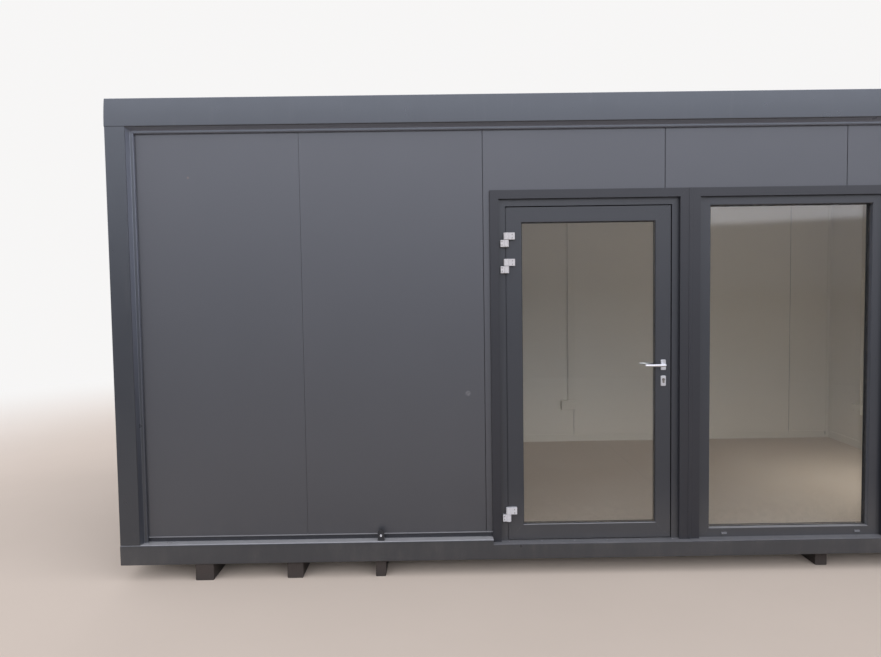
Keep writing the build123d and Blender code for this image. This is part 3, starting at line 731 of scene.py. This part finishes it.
def timber():
    """Dark, weathered sawn wood, with the grain along the block. Its dark tone also holds painted
    shade under the cabin, and the blocks towards the right end are painted lighter as painted
    light.
    """
    finish = Finish("timber")
    grain = finish.noise(0.006, 6.0, 0.7, (1, 0.05, 1))
    rings = finish.node(
        "ShaderNodeTexWave",
        {"wave_type": "RINGS", "rings_direction": "Y"},
        {
            "Vector": finish.stretched((1, 0.1, 1)),
            "Scale": 26.0,
            "Distortion": 7.0,
            "Detail": 3.0,
            "Detail Scale": 1.6,
        },
    )
    rings = Signal(finish, rings.outputs[1])
    # Dark weathered wood, darkened further as painted shade under the cabin
    colour = finish.mix(grain, (0.024, 0.018, 0.015), (0.062, 0.049, 0.041))
    # Painted light: the blocks towards the right end are lighter, where less shade falls on them
    painted_light_on_blocks = finish.x.rises(*lit_block_places)
    colour = finish.mix(painted_light_on_blocks * (0.25 + grain * 0.3), colour, (0.17, 0.155, 0.135))
    colour = finish.mix(rings * 0.35, colour, (0.030, 0.021, 0.016))
    damp = finish.z.falls(0.0, damp_height) * finish.noise(0.04, 4.0).rises(0.35, 0.65)
    colour = finish.mix(damp * 0.6, colour, (0.020, 0.016, 0.013))
    height = grain * 0.7 + rings * 0.3
    return finish.surface(
        Base_Color=colour,
        Roughness=0.85 - damp * 0.25,
        Normal=finish.bump(height, 0.0012),
    )


finishes = {
    make.__name__: make()
    for make in (
        frame_paint,
        wall_paint,
        inner_lining,
        trim_paint,
        profile_paint,
        threshold_metal,
        roof_metal,
        zinc,
        deck_board,
        floor_vinyl,
        glass,
        white_trim,
        hinge_white,
        handle_metal,
        lock_brass,
        black_plastic,
        timber,
    )
}
rubber = black_rubber()

for subpart in frame["record"]["subparts"]:
    nodes[subpart["node"]].data.materials.clear()
    nodes[subpart["node"]].data.materials.append(finishes[subpart["material_slot"]])


# Pieces
def new_piece(name, mesh, material, body):
    """Put a finished mesh in the scene as a piece that rides on a body."""
    mesh.materials.clear()
    mesh.materials.append(material)
    piece = bpy.data.objects.new(name, mesh)
    scene.collection.objects.link(piece)
    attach(piece, body)


def joined(name, parts):
    """One mesh from several, each with its place."""
    whole = bmesh.new()
    for mesh, place in parts:
        part = mesh.copy()
        part.transform(place)
        whole.from_mesh(part)
        bpy.data.meshes.remove(part)
    mesh = bpy.data.meshes.new(name)
    whole.to_mesh(mesh)
    whole.free()
    return mesh


sides = ("front", "right", "rear", "left")


def side_place(side):
    """Turn from the front side of the plan to another side."""
    return Matrix.Rotation(math.radians(90 * sides.index(side)), 4, "Z")


def side_length(side):
    return cabin_length if side in ("front", "rear") else cabin_width


def side_reach(side):
    return cabin_width / 2 if side in ("front", "rear") else cabin_length / 2


class Pattern(Graph):
    """A Geometry Nodes tree with named inputs."""

    def __init__(self, name):
        super().__init__(bpy.data.node_groups.new(name, "GeometryNodeTree"))
        self.tree.interface.new_socket("Shape", in_out="INPUT", socket_type="NodeSocketGeometry")
        self.tree.interface.new_socket("Shape", in_out="OUTPUT", socket_type="NodeSocketGeometry")
        self.start = self.node("NodeGroupInput")
        self.finish = self.node("NodeGroupOutput")

    def size(self, name):
        """A named number that the modifier sets."""
        self.tree.interface.new_socket(name, in_out="INPUT", socket_type="NodeSocketFloat")
        return Signal(self, self.start.outputs[name])

    def vector(self, x=0.0, y=0.0, z=0.0):
        made = self.node("ShaderNodeCombineXYZ", sockets={0: x, 1: y, 2: z})
        return made.outputs[0]

    def close(self, shape, material):
        """End the tree in real, painted geometry."""
        real = self.node("GeometryNodeRealizeInstances", sockets={0: shape})
        painted = self.node(
            "GeometryNodeSetMaterial", sockets={"Geometry": real.outputs[0], "Material": material}
        )
        self.tree.links.new(painted.outputs[0], self.finish.inputs[0])
        return self.tree


def grown(tree, sizes, start=None):
    """Mesh that a tree makes from named sizes and, where it needs one, a start mesh."""
    mesh = start or bpy.data.meshes.new("start")
    holder = bpy.data.objects.new("holder", mesh)
    scene.collection.objects.link(holder)
    modifier = holder.modifiers.new("pattern", "NODES")
    modifier.node_group = tree
    for item in tree.interface.items_tree:
        if item.name in sizes:
            modifier[item.identifier] = float(sizes[item.name])
    graph = bpy.context.evaluated_depsgraph_get()
    result = bpy.data.meshes.new_from_object(holder.evaluated_get(graph))
    bpy.data.objects.remove(holder)
    return result


def rib_pattern():
    """Upright ribs of trapezoid section, side by side along X, their backs on the plane Y = 0."""
    pattern = Pattern("panel_ribs")
    width = pattern.size("Width")
    height = pattern.size("Height")
    pitch = pattern.size("Pitch")
    foot = pattern.size("Foot")
    crest = pattern.size("Crest")
    depth = pattern.size("Depth")
    section = pattern.node(
        "GeometryNodeCurvePrimitiveQuadrilateral",
        {"mode": "TRAPEZOID"},
        {"Height": depth, "Bottom Width": foot, "Top Width": crest, "Offset": 0.0},
    )
    run = pattern.node(
        "GeometryNodeCurvePrimitiveLine",
        {"mode": "POINTS"},
        {"Start": (0.0, 0.0, 0.0), "End": pattern.vector(z=height)},
    )
    rib = pattern.node(
        "GeometryNodeCurveToMesh",
        sockets={"Curve": run.outputs[0], "Profile Curve": section.outputs[0], "Fill Caps": True},
    )
    count = pattern.math("FLOOR", width / pitch)
    first = (width - (count - 1) * pitch) / 2
    row = pattern.node(
        "GeometryNodeMeshLine",
        {"mode": "OFFSET", "count_mode": "TOTAL"},
        {
            "Count": count,
            "Start Location": pattern.vector(x=first),
            "Offset": pattern.vector(x=pitch),
        },
    )
    ribs = pattern.node(
        "GeometryNodeInstanceOnPoints",
        sockets={"Points": row.outputs[0], "Instance": rib.outputs[0]},
    )
    return pattern.close(ribs.outputs[0], finishes["wall_paint"])


def bead_pattern():
    """Round bead along the start mesh's edges, uneven by a share of its radius."""
    pattern = Pattern("bead")
    radius = pattern.size("Radius")
    step = pattern.size("Step")
    unevenness = pattern.size("Unevenness")
    path = pattern.node("GeometryNodeMeshToCurve", sockets={0: pattern.start.outputs[0]})
    path = pattern.node(
        "GeometryNodeResampleCurve", {"mode": "LENGTH"}, {"Curve": path.outputs[0], "Length": step}
    )
    lumps = pattern.node("ShaderNodeTexNoise", sockets={"Scale": lumps_per_metre, "Detail": 2.0})
    swell = 1 + (Signal(pattern, lumps.outputs[0]) - 0.5) * unevenness
    path = pattern.node(
        "GeometryNodeSetCurveRadius", sockets={"Curve": path.outputs[0], "Radius": swell}
    )
    circle = pattern.node(
        "GeometryNodeCurvePrimitiveCircle", sockets={"Resolution": bead_sides, "Radius": radius}
    )
    bead = pattern.node(
        "GeometryNodeCurveToMesh",
        sockets={
            "Curve": path.outputs[0],
            "Profile Curve": circle.outputs[0],
            "Scale": swell,
            "Fill Caps": True,
        },
    )
    return pattern.close(bead.outputs[0], finishes["frame_paint"])


def head_pattern():
    """Round heads with a sunk middle at the start mesh's points, all turned one way."""
    pattern = Pattern("heads")
    radius = pattern.size("Radius")
    height = pattern.size("Height")
    turn_x = pattern.size("Turn X")
    turn_y = pattern.size("Turn Y")
    head = pattern.node(
        "GeometryNodeMeshCone",
        {"fill_type": "NGON"},
        {
            "Vertices": head_sides,
            "Radius Top": radius * head_taper,
            "Radius Bottom": radius,
            "Depth": height,
        },
    )
    shape, middle = head.outputs["Mesh"], head.outputs["Top"]
    for share, sink in ((recess_share, 0.0), (recess_taper, -recess_depth)):
        drawn = pattern.node(
            "GeometryNodeExtrudeMesh",
            {"mode": "FACES"},
            {"Mesh": shape, "Selection": middle, "Offset Scale": height * sink},
        )
        middle = drawn.outputs["Top"]
        shrunk = pattern.node(
            "GeometryNodeScaleElements",
            sockets={"Geometry": drawn.outputs["Mesh"], "Selection": middle, "Scale": share},
        )
        shape = shrunk.outputs[0]
    row = pattern.node(
        "GeometryNodeInstanceOnPoints",
        sockets={
            "Points": pattern.start.outputs[0],
            "Instance": shape,
            "Rotation": pattern.vector(turn_x, turn_y),
        },
    )
    return pattern.close(row.outputs[0], finishes["zinc"])


def rib_field(side, start, end, foot):
    """Ribs on one flat stretch of wall, between distances along the side."""
    sizes = {
        "Width": end - start,
        "Height": panel_head - foot - 2 * rib_end_margin,
        "Pitch": rib_pitch,
        "Foot": rib_foot,
        "Crest": rib_crest,
        "Depth": rib_height + rib_sink,
    }
    origin = Vector(
        (start - side_length(side) / 2, wall_face - side_reach(side), foot + rib_end_margin)
    )
    middle = (rib_sink - rib_height) / 2
    place = side_place(side) @ Matrix.Translation(origin + Vector((0, middle, 0)))
    return grown(rib_tree, sizes), place


def wall_ribs(name, side, start, end, foot):
    """Ribs on one stretch of a wall, as one piece, stopping short of the panel joints."""
    count = int((cabin_length - front_joint_start) // panel_module) + 1
    joints = [front_joint_start + index * panel_module for index in range(count)]
    if side == "rear":
        joints = [cabin_length - joint for joint in reversed(joints)]
    if side in ("left", "right"):
        joints = [cabin_width / 2 - end_joint_offset, cabin_width / 2 + end_joint_offset]
    parts = []
    stops = [start] + [joint for joint in joints if start < joint < end] + [end]
    for low, high in zip(stops, stops[1:]):
        if high - low > least_rib_count * rib_pitch:
            parts.append(rib_field(side, low + joint_margin, high - joint_margin, foot))
    mesh = joined(name, parts)
    mesh.shade_flat()
    new_piece(name, mesh, finishes["wall_paint"], "root")


def skinned(name, runs, closed=False):
    """Mesh with faces between the matching loops of points in each run.

    A run that isn't closed has a cap at both ends.
    """
    made = bmesh.new()
    for run in runs:
        loops = [[made.verts.new(point) for point in loop] for loop in run]
        pairs = list(zip(loops, loops[1:]))
        if closed:
            pairs.append((loops[-1], loops[0]))
        for here, there in pairs:
            for index in range(len(here)):
                after = (index + 1) % len(here)
                made.faces.new((here[index], here[after], there[after], there[index]))
        if not closed:
            made.faces.new(loops[0])
            made.faces.new(loops[-1])
    bmesh.ops.recalc_face_normals(made, faces=made.faces)
    mesh = bpy.data.meshes.new(name)
    made.to_mesh(mesh)
    made.free()
    return mesh


def ring(name, x_range, z_range, section):
    """Mitred rectangular ring from a closed section of (inward, depth) points."""
    (x0, x1), (z0, z1) = x_range, z_range
    corners = ((x0, z0, 1, 1), (x0, z1, 1, -1), (x1, z1, -1, -1), (x1, z0, -1, 1))
    run = [
        [(x + in_x * inward, depth, z + in_z * inward) for inward, depth in section]
        for x, z, in_x, in_z in corners
    ]
    return skinned(name, [run], closed=True)


def bead_along(points, radius, step, unevenness):
    """Mesh of a bead along a row of points."""
    line = bpy.data.meshes.new("line")
    line.from_pydata(points, [(index, index + 1) for index in range(len(points) - 1)], [])
    return grown(bead_tree, {"Radius": radius, "Step": step, "Unevenness": unevenness}, line)


def make_ribs():
    """Ribs on the outer face of every wall panel."""
    far = cabin_length - post_width
    end_far = cabin_width - post_width
    trim_top = door_trim_high.z
    door_side = door_trim_low.x - left_end
    window_side = window_trim_high.x - left_end
    wall_ribs("front_left_wall_ribs", "front", post_width, door_side, panel_foot)
    wall_ribs("front_upper_wall_ribs", "front", door_side, window_side, trim_top)
    wall_ribs("front_right_wall_ribs", "front", window_side, far, panel_foot)
    wall_ribs("rear_wall_ribs", "rear", post_width, far, panel_foot)
    for side in ("left", "right"):
        wall_ribs(side + "_end_ribs", side, post_width, end_far, panel_foot)


def make_seals():
    """Black seals and spacer bars at the edges of the double glazing."""
    for label, body in (("door", "door"), ("window", "root")):
        low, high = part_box(label + "_glass")
        x_range = (low.x + nib_cover, high.x - nib_cover)
        z_range = (low.z + nib_cover, high.z - nib_cover)
        for side, face, out in (("outer", low.y, -1), ("inner", high.y, 1)):
            section = (
                (-seal_hidden, face),
                (-seal_hidden, face + out * seal_depth),
                (0.0, face + out * seal_depth),
                (seal_width, face + out * seal_edge),
                (seal_width, face),
            )
            name = label + "_glass_seal_" + side
            new_piece(name, ring(name, x_range, z_range, section), rubber, body)
        near, far = low.y + pane_thickness, high.y - pane_thickness
        inner = nib_cover - spacer_hidden - spacer_inset
        section = ((0.0, near), (inner, near), (inner, far), (0.0, far))
        name = label + "_glass_spacer"
        x_range = (low.x + spacer_inset, high.x - spacer_inset)
        z_range = (low.z + spacer_inset, high.z - spacer_inset)
        new_piece(name, ring(name, x_range, z_range, section), rubber, body)


def make_sealant():
    """Thin sealant line where the trims meet the wall."""
    face = front_face + wall_face
    for label, low, high in (
        ("door", door_trim_low, door_trim_high),
        ("window", window_trim_low, window_trim_high),
    ):
        points = [(low.x, face, panel_foot), (low.x, face, high.z), (high.x, face, high.z)]
        if label == "window":
            points = [(low.x, face, high.z), (high.x, face, high.z), (high.x, face, panel_foot)]
        name = label + "_trim_sealant"
        mesh = bead_along(points, sealant_radius, sealant_step, sealant_unevenness)
        new_piece(name, mesh, rubber, "root")


def heads(points, toward, radius=screw_radius, height=screw_height):
    """Mesh of round heads on a surface that faces that way."""
    turns = {"-y": (90, 0), "+y": (-90, 0), "+z": (0, 0), "-x": (0, -90)}
    turn_x, turn_y = (math.radians(turn) for turn in turns[toward])
    start = bpy.data.meshes.new("start")
    start.from_pydata(points, [], [])
    sizes = {"Radius": radius, "Height": height, "Turn X": turn_x, "Turn Y": turn_y}
    return grown(head_tree, sizes, start)


def spread(low, high, count):
    """Values from low to high, evenly spaced."""
    return [low + (high - low) * index / (count - 1) for index in range(count)]


def make_hinge_screws():
    """Two fixing screws in each flag of the hinges."""
    for label, body, inset in (
        ("hinge_frame_parts", "root", screw_inset_frame),
        ("hinge_leaf_parts", "door", screw_inset_leaf),
    ):
        low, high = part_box(label)
        x = low.x + inset if body == "root" else high.x - inset
        points = []
        for split in hinge_splits:
            sign = -1 if body == "root" else 1
            middle = frame_foot + split + sign * hinge_block_height / 2
            points += [(x, hinge_flag_face, middle + rise) for rise in (-screw_rise, screw_rise)]
        name = label.replace("parts", "screws")
        new_piece(name, heads(points, "-y"), finishes["lock_brass"], body)


def make_casing_screws():
    """Screws round the casings inside the room."""
    points = []
    for label in ("door_stop_casing", "window_inner_casing"):
        low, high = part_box(label)
        face = high.y - head_sink
        heights = spread(low.z + casing_side_margin, high.z - casing_side_margin, casing_side_count)
        for x in (low.x + casing_screw_inset, high.x - casing_screw_inset):
            points += [(x, face, z) for z in heights]
        across = spread(low.x + casing_head_margin, high.x - casing_head_margin, casing_head_count)
        points += [(x, face, high.z - casing_screw_inset) for x in across]
    new_piece("casing_screws", heads(points, "+y"), finishes["zinc"], "root")


def make_threshold_screws():
    """Flat screws in a row along the threshold."""
    low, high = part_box("door_threshold")
    y, z = low.y + threshold_screw_depth, high.z - head_sink
    ends = (low.x + threshold_screw_margin, high.x - threshold_screw_margin)
    points = [(x, y, z) for x in spread(*ends, threshold_screw_count)]
    mesh = heads(points, "+z", threshold_screw_radius, threshold_screw_height)
    new_piece("threshold_screws", mesh, finishes["zinc"], "root")


def make_socket_outlets():
    """Two round outlets in the face of each socket box."""
    low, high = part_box("socket_boxes")
    middle = (low.z + high.z) / 2
    steps = [socket_width * share for share in outlet_shares]
    rear_points = [(low.x + step, high.y - socket_depth, middle) for step in steps]
    end_points = [(high.x - socket_depth, low.y + step, middle) for step in steps]
    rear = heads(rear_points, "-y", outlet_radius, outlet_height)
    end = heads(end_points, "-x", outlet_radius, outlet_height)
    mesh = joined("socket_outlets", [(rear, Matrix()), (end, Matrix())])
    new_piece("socket_outlets", mesh, finishes["white_trim"], "root")


def make_flashing_rivets():
    """Blind rivets along the drip flashings of all four sides."""
    parts = []
    for side in sides:
        reach = side_length(side) / 2 - post_width - rivet_margin
        count = int(2 * reach // rivet_pitch) + 1
        face = wall_face - side_reach(side) + rivet_setback
        places = spread(-reach, reach, count)
        if side == "front":
            places = [x for x in places if not door_trim_low.x < x < window_trim_high.x]
        points = [(x, face, panel_foot - rivet_drop) for x in places]
        parts.append((heads(points, "-y", rivet_radius, rivet_height), side_place(side)))
    mesh = joined("flashing_rivets", parts)
    new_piece("flashing_rivets", mesh, finishes["trim_paint"], "root")


def make_leaf_lip():
    """Thin lip of the leaf's profile that covers most of the gap on the hinge side."""
    outer = leaf_low.y + leaf_lip_setback
    inner = outer + leaf_lip_thickness
    root = leaf_low.x + leaf_lip_sink
    tip = leaf_low.x - leaf_lip_reach
    section = (
        (root, inner),
        (root, outer),
        (tip + leaf_lip_chamfer, outer),
        (tip, outer + leaf_lip_chamfer),
        (tip, inner),
    )
    ends = (leaf_low.z + leaf_lip_end_gap, leaf_high.z - leaf_lip_end_gap)
    mesh = skinned("door_leaf_lip", [[[(x, y, z) for x, y in section] for z in ends]])
    new_piece("door_leaf_lip", mesh, finishes["profile_paint"], "door")


def make_post_welds():
    """Weld bead where each post's lips stand on the ledge."""
    path = (
        (post_width - lip_width, weld_start_depth),
        (post_width - lip_band, lip_slope_depth),
        (post_width, lip_slope_depth),
        (post_width, wall_face - weld_end_gap),
    )
    parts = []
    for side in sides:
        half, reach = side_length(side) / 2, side_reach(side)
        for hand in (-1, 1):
            points = [(hand * (half - along), depth - reach, post_foot) for along, depth in path]
            mesh = bead_along(points, weld_radius, weld_step, weld_unevenness)
            parts.append((mesh, side_place(side)))
    mesh = joined("post_welds", parts)
    new_piece("post_welds", mesh, finishes["frame_paint"], "root")


def make_keyways():
    """Keyway in both ends of the lock's cylinder."""
    low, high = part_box("lock_cylinder")
    middle = (low.x + high.x) / 2
    top = high.z - keyway_drop
    runs = []
    for face, out in ((low.y, -1), (high.y, 1)):
        depths = (face - out * keyway_sink, face + out * keyway_proud)
        runs.append([[(middle + x, y, top + z) for x, z in keyway_outline] for y in depths])
    new_piece("keyways", skinned("keyways", runs), rubber, "door")


def make_sky():
    """Studio dome: dim near the horizon, bright above a low skyline, and plain to the camera."""
    world = bpy.data.worlds.new("studio")
    world.use_nodes = True
    scene.world = world
    graph = Graph(world.node_tree)
    world.node_tree.nodes.clear()
    toward = graph.node("ShaderNodeTexCoord")
    parts = graph.node("ShaderNodeSeparateXYZ", sockets={0: toward.outputs["Generated"]})
    levels = (
        (0.000, horizon_level),
        (0.030, 0.50),
        (0.099, 0.62),
        (0.106, 1.90),
        (0.200, 1.98),
        (0.232, 1.30),
        (0.268, 1.30),
        (0.310, 2.80),
        (0.400, 3.00),
        (0.620, 1.60),
        (1.000, 1.25),
    )
    brightest = max(level for _, level in levels)
    stops = [(height, sky_tint * (level / brightest)) for height, level in levels]
    toward_x = Signal(graph, parts.outputs[0])
    height = Signal(graph, parts.outputs[2]) + toward_x.rises(*skyline_step) * skyline_drop
    dome = graph.node("ShaderNodeValToRGB", {"stops": stops}, {0: height})
    light = graph.node(
        "ShaderNodeBackground", sockets={"Color": dome.outputs[0], "Strength": brightest}
    )
    seen = graph.node("ShaderNodeBackground", sockets={"Color": (*background, 1.0)})
    path = graph.node("ShaderNodeLightPath")
    straight, through = path.outputs["Is Camera Ray"], path.outputs["Is Transmission Ray"]
    direct = graph.math("MAXIMUM", straight, through)
    both = graph.node(
        "ShaderNodeMixShader", sockets={0: direct, 1: light.outputs[0], 2: seen.outputs[0]}
    )
    output = graph.node("ShaderNodeOutputWorld")
    world.node_tree.links.new(both.outputs[0], output.inputs[0])


def make_stage():
    """Plain pale floor, which fades into the background for the camera."""
    mesh = bpy.data.meshes.new("studio_floor")
    made = bmesh.new()
    bmesh.ops.create_circle(made, cap_ends=True, radius=stage_reach, segments=64)
    made.to_mesh(mesh)
    made.free()
    floor = bpy.data.objects.new("studio_floor", mesh)
    scene.collection.objects.link(floor)
    finish = Finish("studio_floor")
    patches = finish.noise(1.6, 5.0, 0.6)
    colour = finish.mix(patches, (0.46, 0.392, 0.322), (0.51, 0.437, 0.360))
    ground = finish.node(
        "ShaderNodeBsdfDiffuse", sockets={"Color": finish.as_colour(colour), "Roughness": 0.5}
    )
    length = finish.node("ShaderNodeVectorMath", {"operation": "LENGTH"}, {0: finish.place})
    distance = Signal(finish, length.outputs["Value"])
    path = finish.node("ShaderNodeLightPath")
    haze = finish.node("ShaderNodeEmission", sockets={"Color": (*sky_tint * horizon_level, 1.0)})
    mirrored = distance.rises(far_start, far_end) * path.outputs["Is Glossy Ray"]
    ground = finish.node(
        "ShaderNodeMixShader", sockets={0: mirrored, 1: ground.outputs[0], 2: haze.outputs[0]}
    )
    seen = finish.node("ShaderNodeEmission", sockets={"Color": (*background, 1.0)})
    faded = distance.rises(fade_start, fade_end) * path.outputs["Is Camera Ray"]
    both = finish.node(
        "ShaderNodeMixShader", sockets={0: faded, 1: ground.outputs[0], 2: seen.outputs[0]}
    )
    finish.tree.links.new(both.outputs[0], finish.output.inputs[0])
    mesh.materials.append(finish.material)


def make_room_light():
    """Soft light from the ceiling at the far end of the room."""
    data = bpy.data.lights.new("room_light", "AREA")
    data.shape = "RECTANGLE"
    data.size, data.size_y = room_light_sizes
    data.energy = room_light_power
    data.spread = math.radians(room_light_spread)
    lamp = bpy.data.objects.new("room_light", data)
    lamp.location = (*room_light_place, ceiling_foot - room_light_drop)
    lamp.visible_camera = False
    lamp.visible_glossy = False
    lamp.visible_transmission = False
    scene.collection.objects.link(lamp)


def make_camera():
    """The photograph's point of view."""
    eye = Vector((left_end, front_face, frame_foot)) + Vector(camera_offset)
    level = Vector((math.cos(camera_yaw), -math.sin(camera_yaw), 0))
    ahead = Vector((math.sin(camera_yaw), math.cos(camera_yaw), 0))
    forward = ahead * math.cos(camera_pitch) - Vector((0, 0, math.sin(camera_pitch)))
    upright = level.cross(forward)
    right = math.cos(camera_roll) * level + math.sin(camera_roll) * upright
    up = math.cos(camera_roll) * upright - math.sin(camera_roll) * level
    data = bpy.data.cameras.new("camera")
    data.sensor_width = sensor_width
    data.lens = focal_in_pixels / image_width * sensor_width
    camera = bpy.data.objects.new("camera", data)
    turn = Matrix((right, up, -forward)).transposed().to_4x4()
    camera.matrix_world = Matrix.Translation(eye) @ turn
    scene.collection.objects.link(camera)
    scene.camera = camera


scene.view_settings.view_transform = "Standard"
make_camera()
make_sky()
make_stage()
make_room_light()

rib_tree = rib_pattern()
bead_tree = bead_pattern()
head_tree = head_pattern()
make_ribs()
make_seals()
make_sealant()
make_leaf_lip()
make_hinge_screws()
make_casing_screws()
make_threshold_screws()
make_socket_outlets()
make_flashing_rivets()
make_post_welds()
make_keyways()
